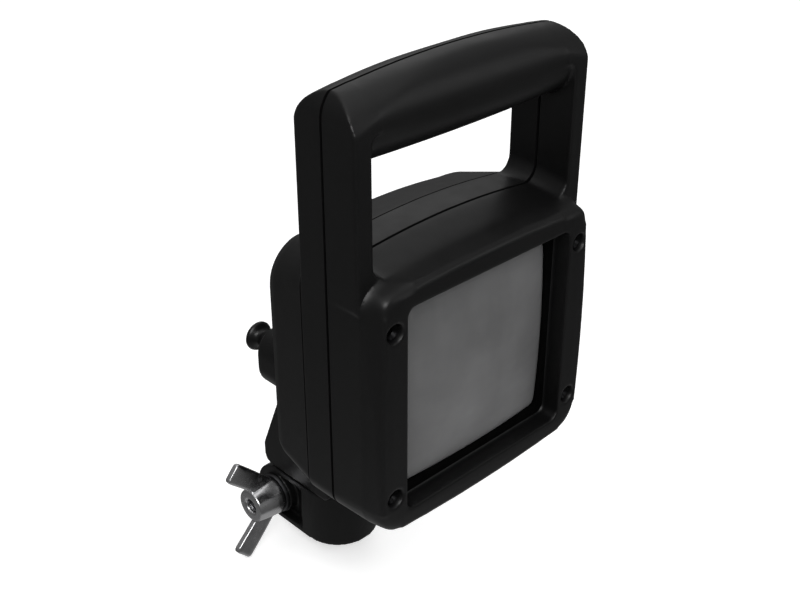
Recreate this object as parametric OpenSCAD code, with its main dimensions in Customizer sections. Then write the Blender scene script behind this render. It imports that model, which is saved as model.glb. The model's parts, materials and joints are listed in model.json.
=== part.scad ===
// Hand-held floodlight on a pole clamp, millimetres, Z up, front towards -Y
// Origin: centre of the pole socket's mouth

/* [Lamp body] */
// Distance from the socket axis forward to the bezel's front face
face_out = 92; // [80:1:110]
// Height of the screw pattern's centre above the socket mouth
lamp_up = 130; // [120:1:150]
// Half width of the housing at its seams
body_hw = 59; // [54:0.5:66]
// Housing's top above the screw centre
body_top = 54.6; // [51:0.2:60]
// Housing's bottom at the seams below the screw centre
body_low = 51; // [48:0.2:56]
// Front screws in from the housing's sides
screw_in = 9; // [8:0.1:9.5]
// Spacing of the front screws up and down
screw_dz = 71.6; // [64:0.2:80]
// How much narrower the bezel is than the housing on each side
bezel_step = 1.5; // [0.5:0.1:2.5]
// Bezel's top edge below the housing's top
top_step = 2.8; // [1:0.1:4]
// How far the bezel's bottom edge hangs below the housing's
low_step = 3.6; // [1:0.1:4]
// Outer corner radius of the housing
corner_r = 12; // [8:0.5:14]
// Lower outer corner radius of the housing
low_r = 8.5; // [7:0.5:12]
// Lower corner radius of the bezel
bezel_low_r = 15; // [10:0.5:16]
// Corner radius at the back of the rear cover
cover_r = 17; // [13:0.5:20]
// Lower corner radius at the back of the rear cover
cover_low_r = 7.5; // [7:0.5:12]
// Wall of the moulded shells
wall = 3; // [2.4:0.1:3.4]
// Depth of the front housing
front_d = 25.7; // [24:0.1:30]
// Depth of the middle ring
ring_d = 14.2; // [12:0.1:18]
// Depth of the rear cover
cover_d = 26.5; // [23:0.5:32]
// Rounding of the bezel's front edge
edge_r = 2.8; // [1.5:0.1:3.5]
// Rounding of the rear cover's back edge
back_r = 7; // [4:0.5:9]
// Draft of the rear cover over its depth
draft = 3.6; // [2:0.2:5]

/* [Handle] */
// Top of the grip above the screw centre
grip_top = 121.7; // [116:0.2:128]
// Radius of the round grip at its middle
grip_r = 15.2; // [13:0.2:16]
// How much slimmer the grip is at its ends
grip_waist = 0.9; // [0.3:0.1:3]
// Thickness of the handle's legs
leg_t = 7.5; // [6.5:0.1:9]
// Distance from the bezel face back to the handle's front
grip_in = 9.2; // [7:0.1:11]
// Radius of the crown along the handle's top
crown_r = 430; // [350:10:800]
// Outer corner radius of the handle
handle_r = 13; // [6:0.5:14]

/* [Window] */
// Width of the bezel band beside the opening
side_band = 13.5; // [12.4:0.1:15]
// Width of the bezel band above the opening
top_band = 8.5; // [8:0.1:12]
// Width of the bezel band below the opening
low_band = 9.9; // [9:0.1:12]
// Corner radius of the opening
open_r = 4; // [3:0.5:9]
// Depth from the bezel face to the lens seat
seat_in = 8.5; // [6:0.5:10]
// Width of the inward lip that holds the window
lip = 1.6; // [1:0.1:2.5]
// Radius of the lens bulge
lens_r = 180; // [150:10:260]

/* [Switch] */
// Switch axis in from the housing's left side
switch_in = 17.5; // [16:0.5:23]
// Switch axis below the screw centre
switch_down = 7.8; // [4:0.1:12]
// Radius of the collar round the switch
collar_r = 10; // [8:0.5:11]
// How far the collar reaches down below the switch axis, centre to centre
collar_drop = 5.4; // [0:0.2:8]
// Length of the collar behind the cover
collar_l = 15.3; // [12:0.1:22]
// Radius of the pull knob's head
knob_r = 6.3; // [5:0.1:7.5]
// Travel of the pull knob
pull = 5; // [3:0.5:6]

/* [Pole clamp] */
// Pole bore radius
bore_r = 12.5; // [11:0.1:13]
// Outer radius of the clamp ring
ring_r = 18.5; // [17.5:0.1:20]
// Height of the clamp ring
clamp_h = 28; // [24:0.5:34]
// Clamp bolt axis behind the pole axis
bolt_back = 23.5; // [22:0.5:27]
// Half width of the slit between the ears
slit_hw = 1.6; // [1:0.1:2.5]
// Half width of the mast arm
arm_hw = 17.9; // [16:0.1:18.4]
// Bolt radius
bolt_r = 5; // [4:0.5:6]
// Half span of the wing nut
wing_span = 26.5; // [22:0.5:28]
// Turn of the wings from upright
wing_turn = 4; // [0:1:90]

/* [Fits] */
// Radial clearance of a running fit
run = 0.06; // [0.03:0.01:0.1]
// Radial clearance of a screw thread in its hole
thread_gap = 0.05; // [0.03:0.01:0.1]
// Gap between faces of pieces that move on each other
face_gap = 0.3; // [0.2:0.05:0.5]

/* [Hidden] */
$fn = 64;
face_y = -face_out;
bezel_hw = body_hw - bezel_step;
bezel_top = body_top - top_step;
bezel_low = body_low + low_step;
open_hw = bezel_hw - side_band;
open_top = bezel_top - top_band;
open_low = bezel_low - low_band;
grip_hw = body_hw - leg_t;
switch_x = body_hw - switch_in;
seam_a = face_y + front_d;
seam_b = seam_a + ring_d;
back_y = seam_b + cover_d;
in_y = back_y - wall;
grip_front = face_y + grip_in;
grip_y = (grip_front + seam_b) / 2;
grip_z = lamp_up + grip_top - grip_r;
open_low_r = 7;
open_top_r = 4.5;
open_r_min = 2;
leg_r = (seam_b - grip_front) / 2;
crown_cut = 0.06;
crown_sink = 5;
crown_z = grip_z + grip_r - leg_r + crown_cut;
loop_sink = corner_r;
barrel_r = grip_hw * grip_hw / (2 * grip_waist);
lens_in_y = face_y + seat_in;
screw_x = body_hw - screw_in;
screw_z = screw_dz / 2;
boss_r = 5;
roll_d = 0.71;
ease = (grip_in - roll_d * edge_r) / (front_d - roll_d * edge_r);
side_ease = 0.4;
top_slope = atan(top_step / (front_d - roll_d * edge_r));
floor_sink = 0.3;
mouth = 0.6;
mouth_d = 2;
roll = [[0, 2.2], [0.09, 0.57], [0.32, 0.18], [roll_d, 0]];
bow_r = 620;
bow_drop = 12;
screw_r = 2;
screw_head_r = 3.1;
bore_head_r = 3.4;
head_sink = 2.2;
head_h = 2.6;
socket_r = 1.5;
socket_d = 1.4;
web_t = 3;
ring_web_in = 1.5;
cover_web_in = 2.6;
boss_end = 3;
crease = 0.2;
low_draft = 1.6;
top_draft = 1.7;
round_in = [0.16, 0.52, 1];
clear = 0.25;
screw_bite = 12;
screw_end = seam_b + screw_bite;
gasket_t = 1.5;
flange_t = 2.5;
rim_t = 1.5;
frame_t = 2;
gasket_y = lens_in_y + 1.5;
flange_y = gasket_y + gasket_t;
rim_y = flange_y + flange_t;
frame_y = rim_y + rim_t;
tunnel_t = 1.6;
glass_gap = 0.4;
glass_hw = open_hw - glass_gap;
flange_w = 4;
bulge_in = 3.4;
trim_t = 0.5;
bulge_sink = 3.4;
bulge_t = 3;
post_out = 5.8;
post_x = open_hw + post_out;
post_z = 16;
post_r = 3;
small_r = 1.5;
small_head_r = 2.7;
small_head_h = 2;
small_l = 8;
bowl_edge = 2.8;
bowl_r = min(open_hw, open_top) - bowl_edge;
bowl_sphere = bowl_r + 0.5;
bowl_back = 30;
bowl_y = frame_y + bowl_back;
bulb_hole_r = 8;
bowl_t = 1.2;
neck_t = 2;
neck_l = 7;
bulb_tip = 14;
bulb_seat = 2;
cap_t = 1.5;
holder_t = 2.5;
holder_l = 12;
lead_r = 2.5;
glass_r = 5.5;
switch_z = lamp_up - switch_down;
collar_y = back_y + collar_l;
collar_round = 3.2;
shaft_r = 3.2;
bush_r = 6;
knob_gap_y = collar_y + 2;
knob_l = 9.5;
knob_y = collar_y + knob_l;
knob_neck_r = 3.4;
knob_foot_r = 4.4;
knob_rim = 1.6;
knob_in = 4;
block_hw = 6.5;
block_l = 16;
arm_z = clamp_h;
arm_wall = wall;
seal_r = 1;
washer_t = 1.8;
washer_r = 9.8;
ear_hw = ring_r;
bolt_z = clamp_h / 2;
nut_x = ear_hw + washer_t + face_gap;
hub_h = 14;
hub_r = 9.5;
hub_top_r = 8;
wing_h = 25.5;
wing_t = 4;
tip_r = 5;
wing_root = [5, 9, 7];
wing_lift = [2, 4, 5];
bolt_sink = 3;
bolt_head_h = 6.4;
bolt_head_r = 9.8;
pocket_d = 4.5;
pocket_y = 5;
pocket_rim = 2.8;
pad_rim = 0.6;
wire_r = 5;
wire_down = 20;
wire_z = lamp_up - wire_down;
arm_screw_x = 11;
arm_screw_down = 11;
arm_screw_gap = 25;
arm_screw_z = [lamp_up - arm_screw_down - arm_screw_gap, lamp_up - arm_screw_down];
arm_boss_r = 3.6;
arm_boss_l = 9;
clamp_screw_x = 11.2;
clamp_screw_y = 12.4;
insul_r = 8;
pin_r = 2.5;
pin_head_r = 4;
pin_head_h = 2;
pin_l = 8;
insul_t = 2;
insul_edge = 1.6;
nut_h = 3;
nut_r = 4.6;
arm_front = -13.3;
arm_rear = 32.2;
arm_step = 10.7;
arm_round = 4;
arm_knee_y = 7.6;
arm_knee_down = 32.5;
arm_top_y = -10;
arm_top_down = 8;
arm_lip = 3;
arm_edge_down = 2;
arm_low_down = 46;
arm_front_h = 38;

// Side outline of the mast arm, foot first, then up its back
arm_pts = [
  [arm_front + arm_round / 2, arm_z], [arm_rear - arm_round, arm_z],
  [arm_rear - arm_round * 0.3, arm_z + arm_round * 0.3],
  [arm_rear, arm_z + arm_round], [arm_rear, arm_z + arm_step],
  [arm_knee_y, lamp_up - arm_knee_down], [arm_top_y, lamp_up - arm_top_down],
  [back_y + arm_lip, lamp_up - arm_edge_down], [back_y, lamp_up - arm_edge_down],
  [back_y, lamp_up - arm_low_down], [arm_front, arm_z + arm_front_h],
  [arm_front, arm_z + arm_round / 2]];

function unit(v) = v / norm(v);
function side_n(a, b) = let(d = unit(b - a)) [-d[1], d[0]];
// Moves every side of an outline inwards by d
function inset(p, d) = [for (i = [0:len(p) - 1])
  let(n = len(p), a = side_n(p[(i + n - 1) % n], p[i]), b = side_n(p[i], p[(i + 1) % n]))
  p[i] + d * (a + b) / (1 + a * b)];

// Extrudes an x-z outline from y0 to y1
module ext_y(y0, y1) {
  translate([0, y1, 0]) rotate([90, 0, 0]) linear_extrude(y1 - y0) children();
}

// Extrudes a y-z outline from x0 to x1
module ext_x(x0, x1) {
  translate([x0, 0, 0]) rotate([90, 0, 90]) linear_extrude(x1 - x0) children();
}

// A cylinder along Y from y0 to y1
module rod_y(x, z, y0, y1, r, r2 = -1) {
  translate([x, y0, z]) rotate([-90, 0, 0])
    cylinder(h = y1 - y0, r1 = r, r2 = r2 < 0 ? r : r2);
}

// A cylinder along X from x0 to x1
module rod_x(y, z, x0, x1, r, r2 = -1) {
  translate([x0, y, z]) rotate([0, 90, 0])
    cylinder(h = x1 - x0, r1 = r, r2 = r2 < 0 ? r : r2);
}

// Rounded rectangle about the middle, heights from the screw centre, b for its lower corners
module plate(hw, low, top, r, b = -1) {
  c = b < 0 ? r : b;
  translate([0, lamp_up]) {
    translate([-hw + c, -low]) square([2 * (hw - c), c]);
    translate([-hw, -low + c]) square([2 * hw, low + top - r - c]);
    translate([-hw + r, top - r]) square([2 * (hw - r), r]);
    for (s = [-1, 1]) {
      translate([s * (hw - c), -low + c]) circle(c);
      translate([s * (hw - r), top - r]) circle(r);
    }
  }
}

// Bezel outline with gently bowed sides, in by d at depth y
module bezel_slice(y, d) {
  ext_y(y, y + 0.01) intersection() {
    plate(bezel_hw - d, bezel_low - d, bezel_top - d, corner_r - d, bezel_low_r - d, $fn = 32);
    bow([1, 0], bezel_hw - d);
    bow([-1, 0], bezel_hw - d);
    bow([0, 1], bezel_top - d);
    bow([0, -1], bezel_low - d);
  }
}

// Large disc that bows one side of the bezel, its edge at reach along v
module bow(v, reach) {
  translate([0, lamp_up - bow_drop * abs(v[0])]) translate(v * (reach - bow_r))
    circle(bow_r, $fn = 360);
}

// Thin slice of the housing for the drafted shapes
module slice(y, hw, low, top, r, b = -1) {
  ext_y(y, y + 0.01) plate(hw, low, top, r, b, $fn = 32);
}

// Window outline, in by d on every side
module window(d) {
  plate(open_hw - d, open_low - d, open_top - d, max(open_r - d, open_r_min));
}

// Housing outline, in by d on every side
module shell(d) {
  plate(body_hw - d, body_low - d, body_top - d, corner_r - d, low_r - d);
}

// Rear cover outline at depth y, drawn in by its draft d and by e all round
module cover_slice(y, d, e, r, b) {
  slice(y, body_hw - d - e, body_low - d * low_draft - e, body_top - d * top_draft - e, r, b);
}

// Band in the middle third of the wall, from y to the groove's floor
module seal_band(y) {
  ext_y(y, seam_b + seal_r) difference() {
    shell(wall / 3);
    shell(wall * 2 / 3);
  }
}

// Places a copy at each front screw
module at_screws() {
  for (sx = [-1, 1]) for (sz = [-1, 1])
    translate([sx * screw_x, 0, lamp_up + sz * screw_z]) children();
}

// Places a copy at each retainer post
module at_posts() {
  for (sx = [-1, 1]) for (sz = [-1, 1])
    translate([sx * post_x, 0, lamp_up + sz * post_z]) children();
}

// Round bar along X about height z, its sides bowed on a large arc
module barrel(z, r, arc, hw) {
  translate([0, grip_y, z]) rotate([0, 90, 0]) rotate_extrude()
    intersection() {
      translate([r - arc, 0]) circle(arc, $fn = 720);
      translate([0, -hw]) square([r, 2 * hw]);
    }
}

// Solid legs and crowned top of the grip loop
module handle_block() {
  intersection() {
    ext_y(grip_front, seam_b) {
      plate(body_hw, -body_top + loop_sink, grip_top, handle_r);
      translate([-body_hw, lamp_up + body_top - loop_sink]) square([2 * body_hw, 2 * loop_sink]);
    }
    union() {
      ext_x(-body_hw - 1, body_hw + 1)
        translate([grip_front, lamp_up]) square([2 * leg_r, crown_z - lamp_up]);
      intersection() {
        ext_x(-body_hw - 1, body_hw + 1) translate([grip_y, crown_z]) circle(leg_r);
        barrel(grip_z - crown_sink, grip_r + crown_sink, crown_r, body_hw + 1);
      }
    }
  }
}

// Lower part of the hand's opening, its floor d below the housing's top
module hand_gap(d) {
  plate(grip_hw, d - body_top, body_top + 4 * open_low_r, open_low_r);
}

// Cut that slopes the opening's floor down to the bezel in front of the seam
module sloped_gap() {
  translate([0, seam_a, lamp_up + body_top]) rotate([top_slope, 0, 0])
    translate([0, -seam_a, -lamp_up - body_top])
      ext_y(face_y, seam_a + grip_in) hand_gap(floor_sink);
}

// The whole grip loop, both halves
module handle_loop() {
  difference() {
    handle_block();
    difference() {
      ext_y(grip_front - 1, seam_b + 1) {
        hand_gap(0);
        plate(grip_hw, -body_top - 2 * open_low_r, grip_z - lamp_up, open_top_r);
      }
      barrel(grip_z, grip_r, barrel_r, grip_hw + 1);
    }
  }
}

// Hollow in one half of the grip
module grip_hollow(y0, y1) {
  intersection() {
    rod_x(grip_y, grip_z, -grip_hw + 2, grip_hw - 2, grip_r - grip_waist - wall);
    translate([-body_hw, y0, grip_z - grip_r]) cube([2 * body_hw, y1 - y0, 2 * grip_r]);
  }
}

// Front housing: bezel, window tunnel, front half of the handle
module front_housing() {
  color([0.06, 0.06, 0.065]) difference() {
    union() {
      difference() {
        union() {
          hull() {
            for (p = roll) bezel_slice(face_y + edge_r * p[0], edge_r * p[1]);
            slice(grip_front, body_hw - side_ease, bezel_low - low_step * ease,
              bezel_top + top_step * ease, corner_r,
              bezel_low_r + (low_r - bezel_low_r) * ease);
            ext_y(seam_a - 0.01, seam_a) shell(0, $fn = 32);
          }
          difference() {
            intersection() {
              handle_loop();
              ext_y(face_y, seam_a) plate(body_hw + 1, 0, grip_top + 1, 1);
            }
            sloped_gap();
          }
        }
        hull() {
          slice(face_y + wall, bezel_hw - wall, bezel_low - wall, bezel_top - wall,
            corner_r - wall, bezel_low_r - wall);
          ext_y(seam_a + clear, seam_a + 2 * clear) shell(wall, $fn = 32);
        }
        grip_hollow(grip_front + wall, seam_a + 1);
      }
      ext_y(face_y + wall - 1, frame_y) difference() {
        window(-tunnel_t);
        window(0);
      }
      ext_y(lens_in_y, gasket_y) difference() {
        window(-tunnel_t);
        window(lip);
      }
      at_screws() rod_y(0, 0, face_y + wall - 1, seam_a, boss_r);
      at_posts() rod_y(0, 0, face_y + wall - 1, frame_y, post_r);
    }
    ext_y(face_y - 1, face_y + wall + 1) window(0);
    at_screws() {
      rod_y(0, 0, face_y - 1, face_y + head_sink + head_h, bore_head_r);
      rod_y(0, 0, face_y - mouth_d, face_y + mouth_d, bore_head_r + 2 * mouth, bore_head_r);
      rod_y(0, 0, face_y, seam_a + 1, screw_r + clear);
    }
    at_posts() rod_y(0, 0, frame_y - small_l - 1, frame_y + 1, small_r + thread_gap);
  }
}

// Middle ring with the rear half of the handle
module handle_rear_shell() {
  color([0.065, 0.065, 0.07]) difference() {
    union() {
      difference() {
        union() {
          ext_y(seam_a, seam_b) shell(0);
          intersection() {
            handle_loop();
            ext_y(seam_a, seam_b) plate(body_hw + 1, 0, grip_top + 1, 1);
          }
        }
        ext_y(seam_a - 1, seam_b + 1) shell(wall);
        grip_hollow(seam_a - 1, seam_b - wall);
      }
      at_screws() rod_y(0, 0, seam_a, seam_b, boss_r);
      for (s = [-1, 1]) for (sz = [-1, 1])
        translate([s > 0 ? screw_x : -body_hw + ring_web_in, seam_a, lamp_up + sz * screw_z - web_t / 2])
          cube([body_hw - ring_web_in - screw_x, ring_d, web_t]);
    }
    at_screws() rod_y(0, 0, seam_a - 1, seam_b + 1, screw_r + clear);
  }
}

// Drafted rear cover with the switch collar
module rear_cover() {
  b = back_y - back_r;
  d = draft * (1 - back_r / cover_d);
  color([0.06, 0.06, 0.065]) difference() {
    union() {
      difference() {
        hull() {
          cover_slice(seam_b, 0, crease, corner_r + 1, low_r);
          cover_slice(b, d, 0, cover_r, cover_low_r);
          cover_slice(b + back_r * 0.5, d, back_r * round_in[0], cover_r, cover_low_r);
          cover_slice(b + back_r * 0.86, d, back_r * round_in[1], cover_r - 2, cover_low_r - 1);
          cover_slice(back_y - 0.01, d, back_r * round_in[2], cover_r - 4, cover_low_r - 2);
        }
        hull() {
          cover_slice(seam_b - 0.01, 0, wall, corner_r - wall + 1, low_r - wall);
          cover_slice(b, d, wall, cover_r - wall, cover_low_r - wall);
          cover_slice(in_y - 0.01, d, wall + back_r * 0.6, cover_r - wall, cover_low_r - wall);
        }
      }
      at_screws() rod_y(0, 0, seam_b, screw_end + boss_end, boss_r);
      for (k = [-1, 1]) for (sz = [-1, 1])
        translate([k > 0 ? screw_x : -body_hw + cover_web_in, seam_b, lamp_up + sz * screw_z - web_t / 2])
          cube([body_hw - cover_web_in - screw_x, screw_end + boss_end - seam_b, web_t]);
      hull() for (z = [switch_z - collar_drop, switch_z])
        rod_y(-switch_x, z, collar_y - collar_round, collar_y, collar_r, collar_r - collar_round, $fn = 48);
      ext_y(in_y - 1, collar_y - collar_round) translate([-switch_x, switch_z]) {
        circle(collar_r);
        translate([0, -collar_drop]) circle(collar_r);
        translate([-collar_r, -collar_drop]) square([2 * collar_r, collar_drop]);
      }
    }
    at_screws() rod_y(0, 0, seam_b - 1, screw_end, screw_r + thread_gap);
    rod_y(-switch_x, switch_z, in_y - 2, collar_y + 1, bush_r);
    rod_y(0, wire_z, in_y - 2, back_y + 2, wire_r);
    for (x = [-arm_screw_x, arm_screw_x]) for (z = arm_screw_z)
      rod_y(x, z, in_y - 2, back_y + 2, small_r + clear);
    seal_band(seam_b - 1);
  }
}

// Rubber seal in the rear cover's groove
module cover_seal() {
  color([0.03, 0.03, 0.03]) seal_band(seam_b);
}

// Four long screws from the bezel into the rear cover
module front_screws() {
  color([0.25, 0.25, 0.27]) at_screws() difference() {
    union() {
      rod_y(0, 0, face_y + head_sink, face_y + head_sink + head_h, screw_head_r);
      rod_y(0, 0, face_y + head_sink + head_h, screw_end - 1, screw_r);
    }
    rod_y(0, 0, face_y + head_sink - 1, face_y + head_sink + socket_d, socket_r, $fn = 6);
  }
}

// Bulged window glass with its flat flange
module lens() {
  color([0.6, 0.6, 0.58, 0.6]) union() {
    ext_y(flange_y, rim_y) difference() {
      window(glass_gap);
      window(glass_gap + flange_w);
    }
    difference() {
      intersection() {
        ext_y(face_y, rim_y) window(glass_gap + bulge_in);
        translate([0, face_y + bulge_sink + lens_r, lamp_up]) sphere(lens_r, $fn = 128);
      }
      translate([0, face_y + bulge_sink + bulge_t + lens_r, lamp_up]) sphere(lens_r, $fn = 128);
    }
  }
}

// Rubber channel that wraps the lip and seals the lens flange
module lens_gasket() {
  color([0.03, 0.03, 0.03]) difference() {
    ext_y(lens_in_y - trim_t, flange_y) difference() {
      window(glass_gap / 2);
      window(lip + trim_t);
    }
    ext_y(lens_in_y, gasket_y) difference() {
      window(-1);
      window(lip);
    }
  }
}

// Round bowl on a square rim
module reflector() {
  color([0.8, 0.8, 0.82]) difference() {
    union() {
      ext_y(rim_y, frame_y) window(glass_gap);
      intersection() {
        rod_y(0, lamp_up, rim_y, bowl_y, bowl_r + bowl_t);
        translate([0, rim_y, lamp_up]) sphere(bowl_sphere + bowl_t, $fn = 96);
      }
      rod_y(0, lamp_up, bowl_y - 3, bowl_y + neck_l, bulb_hole_r + neck_t);
    }
    intersection() {
      rod_y(0, lamp_up, rim_y - 1, bowl_y - bowl_t, bowl_r);
      translate([0, rim_y, lamp_up]) sphere(bowl_sphere, $fn = 96);
    }
    rod_y(0, lamp_up, rim_y - 1, bowl_y + neck_l + 1, bulb_hole_r);
  }
}

// Plate frame that clamps the window stack
module retainer_frame() {
  color([0.5, 0.5, 0.52]) difference() {
    union() {
      ext_y(frame_y, frame_y + frame_t) window(-tunnel_t);
      at_posts() rod_y(0, 0, frame_y, frame_y + frame_t, post_r);
      for (sz = [-1, 1])
        translate([-post_x, frame_y, lamp_up + sz * post_z - post_r])
          cube([2 * post_x, frame_t, 2 * post_r]);
    }
    rod_y(0, lamp_up, frame_y - 1, frame_y + frame_t + 1, bowl_r + 2);
    at_posts() rod_y(0, 0, frame_y - 1, frame_y + frame_t + 1, small_r + clear);
    at_screws() rod_y(0, 0, frame_y - 1, frame_y + frame_t + 1, boss_r + clear);
  }
}

// Four short screws that hold the frame
module retainer_screws() {
  color([0.6, 0.6, 0.62]) at_posts() {
    rod_y(0, 0, frame_y - small_l, frame_y + frame_t, small_r);
    rod_y(0, 0, frame_y + frame_t, frame_y + frame_t + small_head_h, small_head_r);
  }
}

// Glass capsule of the bulb
module bulb_glass() {
  color([0.9, 0.9, 0.92, 0.5]) {
    rod_y(0, lamp_up, frame_y + bulb_tip, bowl_y + bulb_seat, glass_r);
    translate([0, frame_y + bulb_tip, lamp_up]) rotate([90, 0, 0]) sphere(glass_r);
  }
}

// Metal foot of the bulb
module bulb_base() {
  color([0.7, 0.7, 0.72]) {
    rod_y(0, lamp_up, bowl_y + bulb_seat, bowl_y + neck_l, bulb_hole_r - glass_gap / 2);
    rod_y(0, lamp_up, bowl_y + neck_l, bowl_y + neck_l + cap_t, bulb_hole_r + neck_t);
  }
}

// Holder that plugs onto the bulb and clips over the reflector's neck
module bulb_holder() {
  y = bowl_y + 1;
  color([0.75, 0.73, 0.66]) difference() {
    rod_y(0, lamp_up, y, y + holder_l, bulb_hole_r + neck_t + holder_t);
    rod_y(0, lamp_up, y - 1, bowl_y + neck_l + cap_t, bulb_hole_r + neck_t);
    rod_y(0, lamp_up, y, y + holder_l + 1, lead_r);
  }
}

// Switch block behind the cover's wall
module switch_body() {
  color([0.12, 0.12, 0.13]) difference() {
    translate([-switch_x - block_hw, in_y - 1 - block_l, switch_z - block_hw])
      cube([2 * block_hw, block_l, 2 * block_hw]);
    rod_y(-switch_x, switch_z, in_y + 1 - block_l, in_y, shaft_r + run + face_gap);
  }
}

// Guide bush in the collar
module switch_bush() {
  color([0.55, 0.55, 0.57]) difference() {
    rod_y(-switch_x, switch_z, in_y - 1, collar_y, bush_r);
    rod_y(-switch_x, switch_z, in_y - 2, collar_y + 1, shaft_r + run);
  }
}

// Pull knob with its shaft
module switch_knob() {
  color([0.05, 0.05, 0.055]) {
    rod_y(-switch_x, switch_z, in_y - knob_in - pull, knob_gap_y, shaft_r);
    rod_y(-switch_x, switch_z, knob_gap_y, knob_y - 2 * knob_rim, knob_foot_r, knob_neck_r);
    rod_y(-switch_x, switch_z, knob_y - 2 * knob_rim, knob_y - knob_rim,
      knob_neck_r, knob_r - knob_rim / 3);
    rod_y(-switch_x, switch_z, knob_y - knob_rim, knob_y, knob_r);
    rod_y(-switch_x, switch_z, knob_y, knob_y + knob_rim / 2, knob_r, knob_r - knob_rim / 2);
  }
}

// Hollow arm from the rear cover down to the clamp
module mast_arm() {
  color([0.06, 0.06, 0.065]) difference() {
    union() {
      difference() {
        ext_x(-arm_hw, arm_hw) polygon(arm_pts);
        ext_x(-arm_hw + arm_wall, arm_hw - arm_wall) polygon(inset(arm_pts, arm_wall));
      }
      for (x = [-arm_screw_x, arm_screw_x]) for (z = arm_screw_z)
        rod_y(x, z, back_y, back_y + arm_boss_l, arm_boss_r);
    }
    for (x = [-arm_screw_x, arm_screw_x]) for (z = arm_screw_z)
      rod_y(x, z, back_y - 1, back_y + small_l - 0.5, small_r + thread_gap);
    rod_y(0, wire_z, back_y - 1, back_y + arm_wall + 1, wire_r);
    translate([0, 0, arm_z - 1]) cylinder(h = arm_wall + 2, r = insul_r);
    for (x = [-clamp_screw_x, clamp_screw_x])
      translate([x, clamp_screw_y, arm_z - 1]) cylinder(h = arm_wall + 2, r = small_r + clear);
  }
}

// Four screws from inside the rear cover into the arm
module arm_screws() {
  color([0.6, 0.6, 0.62])
    for (x = [-arm_screw_x, arm_screw_x]) for (z = arm_screw_z) {
      rod_y(x, z, in_y - small_head_h, in_y, small_head_r);
      rod_y(x, z, in_y, back_y + small_l - 1, small_r);
    }
}

// Split ring with two ears for the clamp bolt
module pole_clamp() {
  pad_r = washer_r + pad_rim;
  color([0.065, 0.065, 0.07]) difference() {
    intersection() {
      linear_extrude(clamp_h) {
        circle(ring_r);
        translate([-ear_hw, 0]) square([2 * ear_hw, bolt_back + clamp_h]);
      }
      ext_x(-ear_hw - 1, ear_hw + 1) {
        translate([-ring_r - 1, 0]) square([ring_r + 1 + bolt_back, clamp_h]);
        translate([bolt_back, bolt_z]) circle(clamp_h / 2);
      }
    }
    difference() {
      for (s = [-1, 1])
        ext_x(s > 0 ? ear_hw - pocket_d : -ear_hw - 1, s > 0 ? ear_hw + 1 : -ear_hw + pocket_d)
          difference() {
            translate([pocket_y, pocket_rim]) square([bolt_back - pocket_y, clamp_h - 2 * pocket_rim]);
            translate([bolt_back, bolt_z]) circle(pad_r);
          }
      cylinder(h = clamp_h, r = ring_r);
    }
    translate([0, 0, -1]) cylinder(h = clamp_h + 2, r = bore_r);
    translate([-slit_hw, 0, -1]) cube([2 * slit_hw, bolt_back + clamp_h, clamp_h + 2]);
    rod_x(bolt_back, bolt_z, -ear_hw - 1, ear_hw + 1, bolt_r + clear);
    for (x = [-clamp_screw_x, clamp_screw_x])
      translate([x, clamp_screw_y, clamp_h - small_l - 1])
        cylinder(h = small_l + 2, r = small_r + thread_gap);
  }
}

// Two screws from inside the arm into the clamp
module clamp_screws() {
  color([0.6, 0.6, 0.62])
    for (x = [-clamp_screw_x, clamp_screw_x]) translate([x, clamp_screw_y, 0]) {
      translate([0, 0, clamp_h - small_l]) cylinder(h = small_l + arm_wall, r = small_r);
      translate([0, 0, clamp_h + arm_wall]) cylinder(h = small_head_h, r = small_head_r);
    }
}

// Hexagon bolt across the ears
module clamp_bolt() {
  color([0.7, 0.7, 0.72]) {
    rod_x(bolt_back, bolt_z, -nut_x - hub_h + bolt_sink, ear_hw, bolt_r);
    translate([ear_hw, bolt_back, bolt_z]) rotate([0, 90, 0])
      cylinder(h = bolt_head_h, r = bolt_head_r, $fn = 6);
  }
}

// Flat washer under the wing nut
module clamp_washer() {
  color([0.72, 0.72, 0.74]) difference() {
    rod_x(bolt_back, bolt_z, -ear_hw - washer_t, -ear_hw, washer_r);
    rod_x(bolt_back, bolt_z, -ear_hw - washer_t - 1, -ear_hw + 1, bolt_r + clear);
  }
}

// Wing nut, wings up and down
module wing_nut() {
  tip_z = wing_span - tip_r;
  color([0.8, 0.8, 0.82]) translate([-nut_x, bolt_back, bolt_z]) rotate([-wing_turn, 0, 0]) difference() {
    union() {
      rotate([0, -90, 0]) cylinder(h = hub_h, r1 = hub_r, r2 = hub_top_r);
      for (s = [-1, 1]) translate([0, wing_t / 2, 0]) rotate([90, 0, 0]) linear_extrude(wing_t) {
        polygon([[-wing_lift[0], s * wing_root[0]], [-wing_lift[1], s * wing_root[1]],
          [-wing_h + tip_r + wing_lift[2], s * wing_span * 0.92],
          [-wing_h + tip_r, s * wing_span], [-wing_h, s * tip_z],
          [-wing_h + 3, s * (tip_z - tip_r)], [-hub_h, s * wing_root[2]], [-hub_h, s * wing_root[0]]]);
        translate([-wing_h + tip_r, s * tip_z]) circle(tip_r);
      }
    }
    rotate([0, -90, 0]) translate([0, 0, -1]) cylinder(h = hub_h + 2, r = bolt_r + run);
  }
}

// Insulating disc in the arm's floor over the bore
module contact_insulator() {
  color([0.55, 0.3, 0.18]) translate([0, 0, arm_z]) difference() {
    union() {
      cylinder(h = arm_wall, r = insul_r);
      translate([0, 0, arm_wall]) cylinder(h = insul_t, r = insul_r + insul_edge);
    }
    translate([0, 0, -1]) cylinder(h = arm_wall + insul_t + 2, r = pin_r);
    translate([0, 0, -1]) cylinder(h = 1 + pin_head_h, r = pin_head_r);
  }
}

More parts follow.
